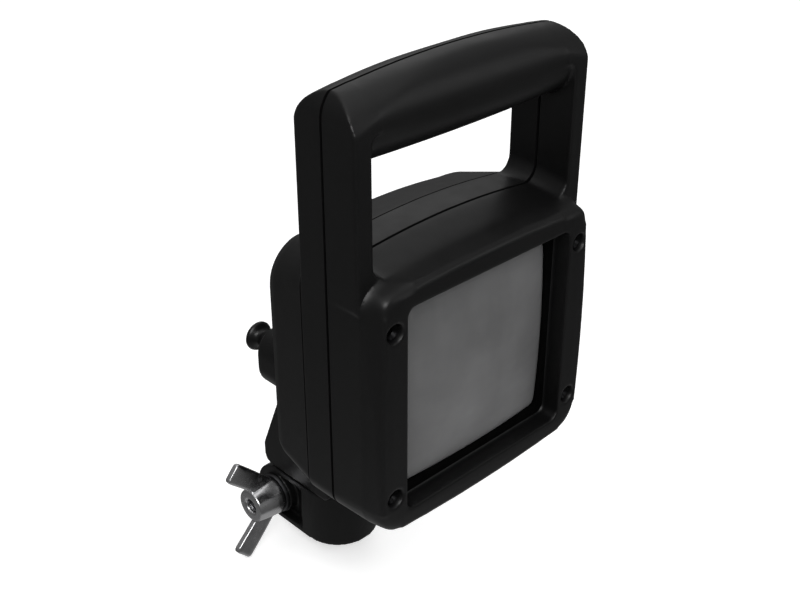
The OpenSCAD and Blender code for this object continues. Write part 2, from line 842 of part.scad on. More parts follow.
// Centre contact that meets the pole, flush with the bore's end
module contact_pin() {
  color([0.75, 0.6, 0.3]) translate([0, 0, arm_z]) {
    cylinder(h = pin_head_h, r = pin_head_r);
    cylinder(h = arm_wall + pin_l, r = pin_r);
  }
}

// Nut that holds the contact and its lead
module contact_nut() {
  color([0.75, 0.6, 0.3]) translate([0, 0, arm_z + arm_wall + insul_t]) difference() {
    cylinder(h = nut_h, r = nut_r, $fn = 6);
    translate([0, 0, -1]) cylinder(h = nut_h + 2, r = pin_r);
  }
}

front_housing();
handle_rear_shell();
rear_cover();
cover_seal();
front_screws();
lens();
lens_gasket();
reflector();
retainer_frame();
retainer_screws();
bulb_glass();
bulb_base();
bulb_holder();
switch_body();
switch_bush();
switch_knob();
mast_arm();
arm_screws();
pole_clamp();
clamp_screws();
clamp_bolt();
clamp_washer();
wing_nut();
contact_insulator();
contact_pin();
contact_nut();
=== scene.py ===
import json
import math

import bmesh
import bpy
from bpy.props import FloatProperty, FloatVectorProperty, IntProperty, PointerProperty
from bpy.types import Operator, Panel, PropertyGroup
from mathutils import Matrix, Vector

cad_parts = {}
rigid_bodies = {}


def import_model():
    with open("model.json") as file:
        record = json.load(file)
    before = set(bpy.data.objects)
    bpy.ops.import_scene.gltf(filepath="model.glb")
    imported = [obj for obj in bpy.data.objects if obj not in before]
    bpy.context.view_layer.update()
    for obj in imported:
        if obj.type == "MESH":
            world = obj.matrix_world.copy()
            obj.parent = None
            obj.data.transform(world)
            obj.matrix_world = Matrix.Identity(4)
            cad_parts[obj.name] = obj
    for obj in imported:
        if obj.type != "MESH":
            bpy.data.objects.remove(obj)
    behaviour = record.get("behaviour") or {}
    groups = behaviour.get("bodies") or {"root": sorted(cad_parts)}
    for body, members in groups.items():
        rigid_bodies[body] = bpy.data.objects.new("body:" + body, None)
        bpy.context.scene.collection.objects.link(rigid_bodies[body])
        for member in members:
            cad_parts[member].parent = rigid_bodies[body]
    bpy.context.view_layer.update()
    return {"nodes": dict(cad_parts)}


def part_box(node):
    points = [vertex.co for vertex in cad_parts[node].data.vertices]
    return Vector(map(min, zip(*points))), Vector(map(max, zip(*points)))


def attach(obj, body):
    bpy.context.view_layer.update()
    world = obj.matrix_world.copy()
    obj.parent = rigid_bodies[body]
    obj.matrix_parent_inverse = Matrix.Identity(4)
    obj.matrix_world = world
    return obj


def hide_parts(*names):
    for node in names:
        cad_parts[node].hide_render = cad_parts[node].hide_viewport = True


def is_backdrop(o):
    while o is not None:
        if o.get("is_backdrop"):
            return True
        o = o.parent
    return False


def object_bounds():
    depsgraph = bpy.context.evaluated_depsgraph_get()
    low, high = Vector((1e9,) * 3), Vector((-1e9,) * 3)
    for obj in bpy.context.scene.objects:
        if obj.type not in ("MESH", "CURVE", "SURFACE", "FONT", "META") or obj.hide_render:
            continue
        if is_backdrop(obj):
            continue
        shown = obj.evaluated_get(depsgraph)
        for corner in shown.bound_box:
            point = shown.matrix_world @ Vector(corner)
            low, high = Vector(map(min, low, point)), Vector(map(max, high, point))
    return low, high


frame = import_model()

bl_info = {
    "name": "Pole-mount floodlight",
    "version": (1, 0, 0),
    "blender": (4, 5, 0),
    "location": "3D View > Sidebar > Floodlight",
    "description": "Dresses a floodlight with a carrying handle, a pole clamp and a wing nut",
    "category": "Object",
}

MM = 0.001
TURN = 2 * math.pi
MERGE = 1e-7  # Points closer than this are one point
DIGITS = 7  # Digits of a place in metres that tell two points apart
FAR = 0.5  # Farther out than any piece reaches
EASE = 0.5  # Share of the way that one round of smoothing moves a point

# Places that the pieces share, read from the solids
FACE_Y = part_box("front_housing")[0].y
SEAM_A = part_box("handle_rear_shell")[0].y
SEAM_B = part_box("handle_rear_shell")[1].y
COVER_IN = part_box("switch_bush")[0].y
BOLT = (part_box("clamp_washer")[0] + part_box("clamp_washer")[1]) / 2
NUT_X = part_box("wing_nut")[1].x


class FloodlightSizes(PropertyGroup):
    """Sizes of the dressed pieces"""
    housing_cell: FloatProperty(
        name="Housing cell", description="Cell size of the housing's skin",
        default=0.68 * MM, precision=5, unit="LENGTH")
    housing_soften: IntProperty(
        name="Housing softening", description="How often the housing's edges are eased",
        default=3, min=0, max=40)
    grip_soften: IntProperty(
        name="Grip softening", description="How often the grip's own curves are eased",
        default=40, min=0, max=200)
    corner_soften: IntProperty(
        name="Corner softening", description="How often the bezel's corners are eased",
        default=40, min=0, max=200)
    seam_gap: FloatProperty(
        name="Seam gap", description="Width of the line between the front shell and the ring",
        default=1.2 * MM, precision=5, unit="LENGTH")
    top_crown: FloatProperty(
        name="Top crown", description="How far the housing's top arches up between the handle's legs",
        default=3.2 * MM, precision=5, unit="LENGTH")
    cover_gap: FloatProperty(
        name="Cover gap", description="Width of the line between the ring and the rear cover",
        default=0.7 * MM, precision=5, unit="LENGTH")
    mast_cell: FloatProperty(
        name="Mast cell", description="Cell size of the skin of the arm and clamp",
        default=0.5 * MM, precision=5, unit="LENGTH")
    mast_soften: IntProperty(
        name="Mast softening", description="How often the edges of the arm and clamp are eased",
        default=4, min=0, max=40)
    nut_cell: FloatProperty(
        name="Nut cell", description="Cell size of the wing nut's skin",
        default=0.32 * MM, precision=5, unit="LENGTH")
    nut_soften: IntProperty(
        name="Nut softening", description="How often the wing nut's edges are eased",
        default=3, min=0, max=40)
    wing_lean: FloatProperty(
        name="Wing lean", description="Turn of the wings from upright",
        default=math.radians(4), subtype="ANGLE")
    lens_crown: FloatProperty(
        name="Lens crown", description="How far the lens stands out at its middle",
        default=4.6 * MM, precision=5, unit="LENGTH")
    lens_bow: FloatProperty(
        name="Lens bow", description="How far the lens's corners are drawn in, as a share of its size",
        default=0.045, min=0, max=0.2)


class FloodlightFinish(PropertyGroup):
    """Colours of the finishes"""
    plastic: FloatVectorProperty(
        name="Moulded plastic", description="Colour of the housing",
        default=(0.0027, 0.0027, 0.0028), subtype="COLOR")
    knob: FloatVectorProperty(
        name="Knob plastic", description="Colour of the pull knob",
        default=(0.0027, 0.0027, 0.0028), subtype="COLOR")
    lens: FloatVectorProperty(
        name="Frosted lens", description="Colour of the lens",
        default=(0.093, 0.093, 0.094), subtype="COLOR")
    zinc: FloatVectorProperty(
        name="Polished zinc", description="Colour of the wing nut",
        default=(0.60, 0.60, 0.61), subtype="COLOR")
    steel: FloatVectorProperty(
        name="Plated steel", description="Colour of washers, bolts and screws",
        default=(0.45, 0.45, 0.46), subtype="COLOR")
    black_steel: FloatVectorProperty(
        name="Blackened steel", description="Colour of the front screws",
        default=(0.012, 0.012, 0.0125), subtype="COLOR")
    rubber: FloatVectorProperty(
        name="Rubber", description="Colour of the seals",
        default=(0.0012, 0.0012, 0.0012), subtype="COLOR")


class FloodlightStage(PropertyGroup):
    """Camera and light"""
    eye: FloatVectorProperty(
        name="Camera place", description="Where the camera stands",
        default=(-0.2959, -0.3483, 0.38175), subtype="XYZ", unit="LENGTH")
    azimuth: FloatProperty(
        name="Camera azimuth", description="Turn of the camera round the lamp",
        default=math.radians(-44.03), subtype="ANGLE")
    elevation: FloatProperty(
        name="Camera elevation", description="Height of the camera above the horizon",
        default=math.radians(29.654), subtype="ANGLE")
    focal: FloatProperty(
        name="Focal length", description="Focal length in millimetres for a 36 mm sensor",
        default=54.55)


def alone(*objs):
    """Goes to object mode with only these objects selected, the first one active."""
    active = bpy.context.view_layer.objects.active
    if active and active.mode != "OBJECT":
        bpy.ops.object.mode_set(mode="OBJECT")
    bpy.ops.object.select_all(action="DESELECT")
    for obj in objs:
        obj.select_set(True)
    if objs:
        bpy.context.view_layer.objects.active = objs[0]


def edit(obj, kind="FACE"):
    """Opens one object for editing, with everything selected."""
    alone(obj)
    bpy.ops.object.mode_set(mode="EDIT")
    bpy.ops.mesh.select_mode(type=kind)
    bpy.ops.mesh.select_all(action="SELECT")


def close(obj):
    """Merges doubles, turns the faces outwards and leaves edit mode."""
    bpy.ops.mesh.select_all(action="SELECT")
    bpy.ops.mesh.remove_doubles(threshold=MERGE)
    bpy.ops.mesh.normals_make_consistent(inside=False)
    bpy.ops.object.mode_set(mode="OBJECT")
    return obj


def pick(obj, kind, test):
    """Selects the vertices, edges or faces in edit mode that pass a test of their middle and normal."""
    bpy.ops.mesh.select_mode(type=kind)
    bpy.ops.mesh.select_all(action="DESELECT")
    mesh = bmesh.from_edit_mesh(obj.data)
    if kind == "VERT":
        for v in mesh.verts:
            v.select_set(bool(test(v.co, v.normal)))
    elif kind == "EDGE":
        for e in mesh.edges:
            a, b = e.verts[0].co, e.verts[1].co
            e.select_set(bool(test((a + b) / 2, b - a)))
    else:
        for f in mesh.faces:
            f.select_set(bool(test(f.calc_center_median(), f.normal)))
    mesh.select_flush_mode()
    bmesh.update_edit_mesh(obj.data)


def modify(obj, kind, **values):
    """Adds a modifier, sets it and applies it."""
    alone(obj)
    bpy.ops.object.modifier_add(type=kind)
    mod = obj.modifiers[-1]
    for key, value in values.items():
        setattr(mod, key, value)
    bpy.ops.object.modifier_apply(modifier=mod.name)


def settle(obj, body, slot, finish, *nodes, smooth=35):
    """Names a finished piece's body and finish, with its place in its mesh. The slot is not used."""
    alone(obj)
    bpy.ops.object.transform_apply(location=True, rotation=True, scale=True)
    bpy.ops.object.shade_smooth_by_angle(angle=math.radians(smooth))
    obj.data.name = obj.name
    obj.data.materials.clear()
    obj.data.materials.append(finish)
    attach(obj, body)
    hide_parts(*nodes)
    return obj


def joined(name, *objs):
    """Joins objects into the first."""
    alone(*objs)
    bpy.ops.object.join()
    objs[0].name = name
    return objs[0]


def twin(obj, name, offset=(0, 0, 0)):
    """A copy of a piece with its own mesh, moved by offset."""
    alone(obj)
    bpy.ops.object.duplicate(linked=False)
    copy = bpy.context.object
    copy.name = name
    copy.location = offset
    bpy.ops.object.transform_apply(location=True, rotation=True, scale=True)
    return copy


def block(lo, hi):
    """A plain block between two corners, a start for other shapes."""
    lo, hi = Vector(lo), Vector(hi)
    alone()
    bpy.ops.mesh.primitive_cube_add(size=1, location=(lo + hi) / 2, scale=hi - lo)
    bpy.ops.object.transform_apply(location=True, rotation=True, scale=True)
    return bpy.context.object


def node_copy(node):
    """A merged copy of a solid, to be worked on."""
    obj = bpy.data.objects.new(node + "_copy", frame["nodes"][node].data.copy())
    bpy.context.scene.collection.objects.link(obj)
    obj.data.materials.clear()
    edit(obj, "VERT")
    bpy.ops.mesh.remove_doubles(threshold=MERGE)
    bpy.ops.object.mode_set(mode="OBJECT")
    return obj


def skin(obj, cell, soften):
    """Draws a new even skin over a shape, keeps its outside only and eases its edges."""
    modify(obj, "REMESH", mode="VOXEL", voxel_size=cell, adaptivity=0)
    top = max(v.co.z for v in obj.data.vertices)
    edit(obj)
    pick(obj, "VERT", lambda c, n: c.z > top - cell / 4)
    bpy.ops.mesh.select_linked()
    bpy.ops.mesh.select_all(action="INVERT")
    bpy.ops.mesh.delete(type="VERT")
    bpy.ops.object.mode_set(mode="OBJECT")
    modify(obj, "SMOOTH", factor=EASE, iterations=soften)
    return obj


def ease(obj, rounds, test):
    """Smooths the vertices whose place passes a test."""
    edit(obj)
    pick(obj, "VERT", lambda c, n: test(c))
    bpy.ops.mesh.vertices_smooth(factor=EASE, repeat=rounds)
    bpy.ops.object.mode_set(mode="OBJECT")


def keep_between(obj, name, y_from, y_to):
    """A copy of a shape cut by a block to what lies between two planes across Y."""
    piece = twin(obj, name)
    cutter = block((-FAR, y_from, -FAR), (FAR, y_to, FAR))
    modify(piece, "BOOLEAN", operation="INTERSECT", object=cutter, solver="MANIFOLD")
    bpy.data.objects.remove(cutter)
    return piece


def turned(name, profile, centre, axis, steps=64, ring=False):
    """Spins a profile of (radius, distance along the axis) round an axis, as on a lathe."""
    axis = Vector(axis)
    side = Vector((0, 0, 1))
    alone()
    bpy.ops.mesh.primitive_circle_add(vertices=len(profile), radius=0.01)
    obj = bpy.context.object
    obj.name = name
    for v, (r, d) in zip(obj.data.vertices, profile):
        v.co = Vector(centre) + axis * d + side * r
    edit(obj, "EDGE")
    if not ring:
        pick(obj, "EDGE", lambda c, d: (c - Vector(centre)).cross(axis).length < MERGE)
        bpy.ops.mesh.delete(type="EDGE_FACE")
        bpy.ops.mesh.select_all(action="SELECT")
    bpy.ops.mesh.spin(steps=steps, angle=TURN, center=centre, axis=axis)
    return close(obj)


def place_key(point):
    """A place that can be looked up."""
    return tuple(round(c, DIGITS) for c in point)


def drawn_up(name, loops):
    """Draws an outline up through a row of outlines by extruding its edges, and closes both ends."""
    alone()
    bpy.ops.mesh.primitive_circle_add(vertices=len(loops[0]), radius=0.01)
    obj = bpy.context.object
    obj.name = name
    for v, p in zip(obj.data.vertices, loops[0]):
        v.co = p
    edit(obj, "EDGE")
    bpy.ops.mesh.edge_face_add()
    bpy.ops.mesh.select_mode(type="EDGE")
    for before, after in zip(loops, loops[1:]):
        bpy.ops.mesh.extrude_edges_move()
        mesh = bmesh.from_edit_mesh(obj.data)
        goes = {place_key(p): q for p, q in zip(before, after)}
        for v in mesh.verts:
            if v.select:
                v.co = goes[place_key(v.co)]
        bmesh.update_edit_mesh(obj.data)
    bpy.ops.mesh.edge_face_add()
    return close(obj)


def outline(hw, low, top, r, y_of, corner=8, side=14):
    """Points of a rounded rectangle about x = 0, its depth given by a function of x and z."""
    points = []
    corners = ((hw - r, top - r, 0), (-hw + r, top - r, 1),
               (-hw + r, low + r, 2), (hw - r, low + r, 3))
    for k, (x, z, turn) in enumerate(corners):
        for i in range(corner + 1):
            a = (turn + i / corner) * TURN / 4
            points.append((x + r * math.cos(a), z + r * math.sin(a)))
        next_x, next_z, _ = corners[(k + 1) % 4]
        a = (turn + 1) * TURN / 4
        end = (next_x + r * math.cos(a), next_z + r * math.sin(a))
        start = points[-1]
        for i in range(1, side):
            t = i / side
            points.append((start[0] + (end[0] - start[0]) * t, start[1] + (end[1] - start[1]) * t))
    return [Vector((x, y_of(x, z), z)) for x, z in points]


def barrelled(points, lo, hi, bow):
    """Draws an outline's corners in, by a share of a box's half sizes, so that its sides bow out."""
    mid_z, half_z = (lo.z + hi.z) / 2, (hi.z - lo.z) / 2
    drawn = []
    for p in points:
        u, v = p.x / hi.x, (p.z - mid_z) / half_z
        drawn.append(Vector((p.x * (1 - bow * v * v), p.y, mid_z + (p.z - mid_z) * (1 - bow * u * u))))
    return drawn


def arched(name, stations, rows=24, sunk=3 * MM):
    """A bar along Y with an arched top: depth, half width, height of its ends and rise of its arch."""
    loops = []
    steps = [2 * i / rows - 1 for i in range(rows + 1)]
    for y, hw, z, rise in stations:
        top = [Vector((hw * t, y, z + rise * (1 - t * t))) for t in steps]
        foot = [Vector((hw * t, y, z - sunk)) for t in reversed(steps)]
        loops.append(top + foot)
    return drawn_up(name, loops)


def new_finish(name):
    """A material and its shader."""
    mat = bpy.data.materials.new(name)
    mat.use_nodes = True
    return mat, mat.node_tree.nodes["Principled BSDF"]


def add_node(mat, kind, inputs=None, **values):
    """A node with its inputs and settings."""
    made = mat.node_tree.nodes.new(kind)
    for key, value in values.items():
        setattr(made, key, value)
    for key, value in (inputs or {}).items():
        made.inputs[key].default_value = value
    return made


def wire(mat, source, target):
    """Links an output to an input."""
    mat.node_tree.links.new(source, target)


def grain(mat, scale, detail):
    """Noise on the piece's own coordinates."""
    coords = add_node(mat, "ShaderNodeTexCoord")
    noise = add_node(mat, "ShaderNodeTexNoise", {"Scale": scale, "Detail": detail})
    wire(mat, coords.outputs["Object"], noise.inputs["Vector"])
    return noise.outputs["Fac"]


def span(mat, value, low, high, start=0.3, end=0.7):
    """Maps a noise value to a range."""
    made = add_node(mat, "ShaderNodeMapRange",
                    {"From Min": start, "From Max": end, "To Min": low, "To Max": high})
    wire(mat, value, made.inputs["Value"])
    return made.outputs["Result"]


def tint(mat, value, colour, dark, light, start=0.3, end=0.7):
    """A colour that varies between a darker and a lighter shade."""
    ramp = add_node(mat, "ShaderNodeValToRGB")
    for stop, place, share in zip(ramp.color_ramp.elements, (start, end), (dark, light)):
        stop.position = place
        stop.color = (*(c * share for c in colour), 1)
    wire(mat, value, ramp.inputs["Fac"])
    return ramp.outputs["Color"]


def relief(mat, shader, height, strength, depth):
    """Small relief on a surface."""
    bump = add_node(mat, "ShaderNodeBump", {"Strength": strength, "Distance": depth})
    wire(mat, height, bump.inputs["Height"])
    wire(mat, bump.outputs["Normal"], shader.inputs["Normal"])


def moulded(name, colour, rough=0.4, shine=0.3):
    """Satin moulded plastic: fine spark grain, cloudy gloss and colour."""
    mat, shader = new_finish(name)
    shader.inputs["Specular IOR Level"].default_value = shine
    wire(mat, tint(mat, grain(mat, 55, 3), colour, 0.92, 1.08), shader.inputs["Base Color"])
    wire(mat, span(mat, grain(mat, 140, 4), rough - 0.025, rough + 0.03), shader.inputs["Roughness"])
    relief(mat, shader, grain(mat, 2400, 2), 0.22, 0.05 * MM)
    return mat


def metal(name, colour, rough):
    """Bare or plated metal with a fine grain and clouded polish."""
    mat, shader = new_finish(name)
    shader.inputs["Metallic"].default_value = 1
    wire(mat, tint(mat, grain(mat, 160, 4), colour, 0.88, 1.08), shader.inputs["Base Color"])
    wire(mat, span(mat, grain(mat, 260, 5), rough - 0.07, rough + 0.10), shader.inputs["Roughness"])
    relief(mat, shader, grain(mat, 900, 4), 0.15, 0.04 * MM)
    return mat


def glowing(name, strength):
    """A finish without shine that glows white."""
    mat, shader = new_finish(name)
    shader.inputs["Specular IOR Level"].default_value = 0.0
    shader.inputs["Emission Color"].default_value = (1, 1, 1, 1)
    shader.inputs["Emission Strength"].default_value = strength
    return mat, shader


def frosted(name, colour):
    """Frosted lens: soft cloudy grey with a faint moulded grid of small pillows."""
    mat, shader = new_finish(name)
    shader.inputs["Specular IOR Level"].default_value = 0.35
    shader.inputs["Coat Weight"].default_value = 0.12
    shader.inputs["Coat Roughness"].default_value = 0.35
    wire(mat, tint(mat, grain(mat, 18, 9), colour, 0.8, 1.2, 0.38, 0.62), shader.inputs["Base Color"])
    wire(mat, span(mat, grain(mat, 90, 4), 0.46, 0.6), shader.inputs["Roughness"])
    coords = add_node(mat, "ShaderNodeTexCoord")
    waves = []
    for direction in ("X", "Z"):
        wave = add_node(mat, "ShaderNodeTexWave", {"Scale": 55.0, "Distortion": 0.0},
                        bands_direction=direction)
        wire(mat, coords.outputs["Object"], wave.inputs["Vector"])
        waves.append(wave.outputs["Fac"])
    both = add_node(mat, "ShaderNodeMath", operation="ADD")
    for value, socket in zip(waves, both.inputs):
        wire(mat, value, socket)
    relief(mat, shader, both.outputs["Value"], 0.18, 0.12 * MM)
    return mat


def soft_rubber(name, colour):
    """Matt rubber with a dusty bloom."""
    mat, shader = new_finish(name)
    shader.inputs["Specular IOR Level"].default_value = 0.02
    wire(mat, tint(mat, grain(mat, 120, 3), colour, 0.7, 1.4), shader.inputs["Base Color"])
    wire(mat, span(mat, grain(mat, 300, 3), 0.7, 0.9), shader.inputs["Roughness"])
    relief(mat, shader, grain(mat, 1500, 2), 0.2, 0.05 * MM)
    return mat


def clear_glass(name):
    """Bulb glass."""
    mat, shader = new_finish(name)
    shader.inputs["Transmission Weight"].default_value = 0.9
    shader.inputs["IOR"].default_value = 1.46
    wire(mat, tint(mat, grain(mat, 80, 2), (0.9, 0.9, 0.92), 0.94, 1.0), shader.inputs["Base Color"])
    wire(mat, span(mat, grain(mat, 200, 2), 0.03, 0.08), shader.inputs["Roughness"])
    return mat


def fired_clay(name):
    """Glazed off-white ceramic."""
    mat, shader = new_finish(name)
    wire(mat, tint(mat, grain(mat, 140, 4), (0.6, 0.56, 0.48), 0.9, 1.05), shader.inputs["Base Color"])
    wire(mat, span(mat, grain(mat, 220, 3), 0.3, 0.5), shader.inputs["Roughness"])
    relief(mat, shader, grain(mat, 800, 3), 0.2, 0.05 * MM)
    return mat


def finish(key):
    """The finish of that name, made on first use."""
    made = bpy.data.materials.get(key)
    if made:
        return made
    colours = bpy.context.scene.floodlight_finish
    makers = {
        "housing_plastic": lambda: moulded(key, colours.plastic),
        "knob_plastic": lambda: moulded(key, colours.knob, 0.36),
        "switch_moulding": lambda: moulded(key, (0.02, 0.02, 0.021), 0.5),
        "frosted_lens": lambda: frosted(key, colours.lens),
        "polished_zinc": lambda: metal(key, colours.zinc, 0.22),
        "plated_steel": lambda: metal(key, colours.steel, 0.3),
        "black_steel": lambda: metal(key, colours.black_steel, 0.34),
        # Plated steel painted darker: painted shade for the washer in the shadow of the wing nut's hub
        "shaded_plated_steel": lambda: metal(key, (0.10, 0.10, 0.105), 0.4),
        "spun_metal": lambda: metal(key, (0.7, 0.7, 0.71), 0.16),
        "satin_brass": lambda: metal(key, (0.55, 0.38, 0.13), 0.26),
        "matt_rubber": lambda: soft_rubber(key, colours.rubber),
        "clear_glass": lambda: clear_glass(key),
        "glazed_ceramic": lambda: fired_clay(key),
        "insulator_moulding": lambda: moulded(key, (0.16, 0.05, 0.02), 0.45, 0.4),
    }
    return makers[key]()


class FLOODLIGHT_OT_housing(Operator):
    """Make the front shell, the middle ring with the handle's rear half, and the rear cover"""
    bl_idname = "floodlight.housing"
    bl_label = "Housing"

    @staticmethod
    def core():
        """A block that fills the hollow."""
        seat_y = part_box("lens")[0].y + 8 * MM
        # Depth, half width, low and top edge, corner radius
        rooms = ((seat_y, 55.8, 79.2, 180.9, 10), (SEAM_A, 57, 81, 182.6, 10),
                 (SEAM_B, 57, 81, 182.6, 11), (COVER_IN - 3 * MM, 54.3, 85.2, 178.6, 15),
                 (COVER_IN + 2 * MM, 50, 89.5, 174.3, 15))
        return drawn_up("core", [outline(hw * MM, low * MM, top * MM, r * MM, lambda x, z, y=y: y)
                                 for y, hw, low, top, r in rooms])

    @staticmethod
    def crown(rise):
        """The arched top between the handle's legs."""
        # Depth, half width, height of the ends, share of the rise
        arch = ((FACE_Y + 2 * MM, 42, 181.2, 0.25), (FACE_Y + 9.2 * MM, 45, 182.6, 0.6),
                (SEAM_A, 46, 184.5, 1), (SEAM_B, 46, 184.5, 1), (COVER_IN - 4 * MM, 40, 180.0, 1),
                (COVER_IN - 0.5 * MM, 39, 178.8, 0.9), (COVER_IN + 2 * MM, 37, 176.2, 0.8))
        return arched("top_crown", [(y, hw * MM, z * MM, rise * share) for y, hw, z, share in arch])

    @staticmethod
    def soften(blank, sizes):
        """Eases the grip, the top and the bezel's corners, but not the lip of the window."""
        grip_z, grip_hw = 222 * MM, 47 * MM
        ease(blank, sizes.grip_soften, lambda c: c.z > grip_z and abs(c.x) < grip_hw)
        top_y, top_hw, top_low, top_high = FACE_Y + 5 * MM, 43 * MM, 178 * MM, 190 * MM
        ease(blank, sizes.grip_soften,
             lambda c: top_low < c.z < top_high and abs(c.x) < top_hw and c.y > top_y)
        corner_x, corner_y, corner_z = 40 * MM, FACE_Y + 9 * MM, 172.5 * MM
        lip_x, lip_z, low_z = 46.3 * MM, 178.5 * MM, 88.5 * MM

        def at_corner(c):
            beside = abs(c.x) > lip_x
            high = c.z > (corner_z if beside else lip_z)
            return abs(c.x) > corner_x and c.y < corner_y and (high or (beside and c.z < low_z))

        ease(blank, sizes.corner_soften, at_corner)

    def execute(self, context):
        sizes = context.scene.floodlight_sizes
        core = self.core()
        crown = self.crown(sizes.top_crown)
        copies = [node_copy(n) for n in ("front_housing", "handle_rear_shell", "rear_cover")]
        blank = joined("housing_blank", *copies, core, crown)
        skin(blank, sizes.housing_cell, sizes.housing_soften)
        self.soften(blank, sizes)
        plastic = finish("housing_plastic")
        half_gap = sizes.seam_gap / 2
        ring_end = SEAM_B + 0.05 * MM
        front = keep_between(blank, "front_shell", 2 * FACE_Y, SEAM_A - half_gap)
        middle = keep_between(blank, "handle_ring", SEAM_A + half_gap, ring_end)
        cover = keep_between(blank, "rear_shell", ring_end + sizes.cover_gap, -FACE_Y)
        settle(front, "lamp", "housing", plastic, "front_housing")
        settle(middle, "lamp", "housing", plastic, "handle_rear_shell")
        settle(cover, "lamp", "housing", plastic, "rear_cover")
        bpy.data.objects.remove(blank)
        return {"FINISHED"}


class FLOODLIGHT_OT_gasket(Operator):
    """Make the black rubber that fills the gap between the lens and its opening"""
    bl_idname = "floodlight.gasket"
    bl_label = "Lens gasket"

    def execute(self, context):
        lo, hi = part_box("lens")
        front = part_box("lens_gasket")[0].y
        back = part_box("lens_gasket")[1].y
        bow = context.scene.floodlight_sizes.lens_bow
        glass_gap, corner_r, least_r = 0.4, 4.0, 0.6

        def loop(inset, y):
            d = (glass_gap - inset) * MM
            r = max(corner_r - inset, least_r) * MM
            return outline(hi.x + d, lo.z - d, hi.z + d, r, lambda x, z: y)

        step = front + 0.45 * MM
        ring = drawn_up("gasket", [loop(0.4, front), loop(0.2, front + 0.2 * MM), loop(0.2, step),
                                   loop(1.75, step), loop(1.75, back - 0.05 * MM)])
        cutter = drawn_up("cutter", [barrelled(loop(3.5, y), lo, hi, bow)
                                     for y in (front - 1 * MM, back + 1 * MM)])
        modify(ring, "BOOLEAN", operation="DIFFERENCE", object=cutter, solver="EXACT")
        bpy.data.objects.remove(cutter)
        settle(ring, "lamp", "rubber", finish("matt_rubber"), "lens_gasket")
        return {"FINISHED"}


class FLOODLIGHT_OT_lens(Operator):
    """Make the frosted, cushioned lens"""
    bl_idname = "floodlight.lens"
    bl_label = "Lens"

    def execute(self, context):
        sizes = context.scene.floodlight_sizes
        lo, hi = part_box("lens")
        hw, low, top = hi.x, lo.z, hi.z
        mid_z = (low + top) / 2
        edge = 3.4 * MM
        edge_y = lo.y + sizes.lens_crown

        def cushion(x, z):
            u = x / (hw - edge)
            v = (z - mid_z) / ((top - low) / 2 - edge)
            return edge_y - sizes.lens_crown * (max(0.0, 1 - u * u) * max(0.0, 1 - v * v)) ** 0.9

        def rim(inset, r, y_of):
            return outline(hw - inset, low + inset, top - inset, r, y_of)

        def flat_rim(inset, r, y):
            return rim(inset, r, lambda x, z: y)

        back_y, flange_y = hi.y, hi.y - 2.5 * MM
        small = 0.3 * MM
        flange_r, rim_r, wall_r = 3.6 * MM, 3.5 * MM, 3.4 * MM
        flange = [
            flat_rim(4 * MM, 2 * MM, back_y), flat_rim(small, rim_r, back_y),
            flat_rim(0, flange_r, back_y - small), flat_rim(0, flange_r, flange_y + small),
            flat_rim(small, rim_r, flange_y), flat_rim(edge - small, wall_r, flange_y),
        ]
        front = [flat_rim(edge, wall_r, flange_y - small), flat_rim(edge, wall_r, edge_y + 2.6 * MM)]
        # Rounded edge: inset from the wall and drop below the cushion
        for d, drop in ((0.1, 1.7), (0.5, 1.0), (1.2, 0.48), (2.2, 0.16), (3.4, 0.0)):
            front.append(rim(edge + d * MM, wall_r - d * MM / 3,
                             lambda x, z, drop=drop: cushion(x, z) + drop * MM))
        rows, row_step, rounding = 12, 2.9 * MM, 3.4 * MM
        for k in range(1, rows + 1):
            r = max(2.2 - 0.16 * k, 0.2) * MM
            front.append(rim(edge + rounding + k * row_step, r, cushion))
        front = [barrelled(row, lo, hi, sizes.lens_bow) for row in front]
        obj = drawn_up("lens_pane", flange + front)
        settle(obj, "lamp", "window", finish("frosted_lens"), "lens", smooth=40)
        return {"FINISHED"}


class FLOODLIGHT_OT_front_screws(Operator):
    """Make one socket screw and set it in the four front holes"""
    bl_idname = "floodlight.front_screws"
    bl_label = "Front screws"

    def execute(self, context):
        lo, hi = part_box("front_screws")
        head_r, shank_r = 3.1 * MM, 2 * MM
        at_x, at_z = hi.x - head_r, (lo.z + hi.z) / 2
        rise = (hi.z - lo.z) / 2 - head_r
        length = hi.y - lo.y
        # Head: radius, distance behind the front
        head = ((0, 1.3), (1.7, 1.3), (2.75, 0.12), (2.9, 0.0), (3.04, 0.08), (3.1, 0.3),
                (3.1, 2.5), (2.9, 2.6), (2.0, 2.6))
        profile = [(r * MM, d * MM) for r, d in head]
        profile += [(shank_r, length - 0.5 * MM), (shank_r - 0.5 * MM, length), (0, length)]
        screw = turned("front_screw", profile, (0, lo.y, 0), (0, 1, 0), 48)
        socket_r, socket_depth = 1.6 * MM, 4.4 * MM
        alone()
        bpy.ops.mesh.primitive_cylinder_add(
            vertices=6, radius=socket_r, depth=socket_depth, location=(0, lo.y, 0),
            rotation=(TURN / 4, 0, 0))
        socket = bpy.context.object
        edit(socket, "EDGE")
        bpy.ops.mesh.bevel(offset=0.12 * MM, segments=2)
        close(socket)
        modify(screw, "BOOLEAN", operation="DIFFERENCE", object=socket, solver="EXACT")
        bpy.data.objects.remove(socket)
        for name, sx, sz in (("a", -1, 1), ("b", 1, 1), ("c", -1, -1), ("d", 1, -1)):
            copy = twin(screw, "front_screw_" + name, (sx * at_x, 0, at_z + sz * rise))
            settle(copy, "lamp", "dark_steel", finish("black_steel"), "front_screws")
        bpy.data.objects.remove(screw)
        return {"FINISHED"}


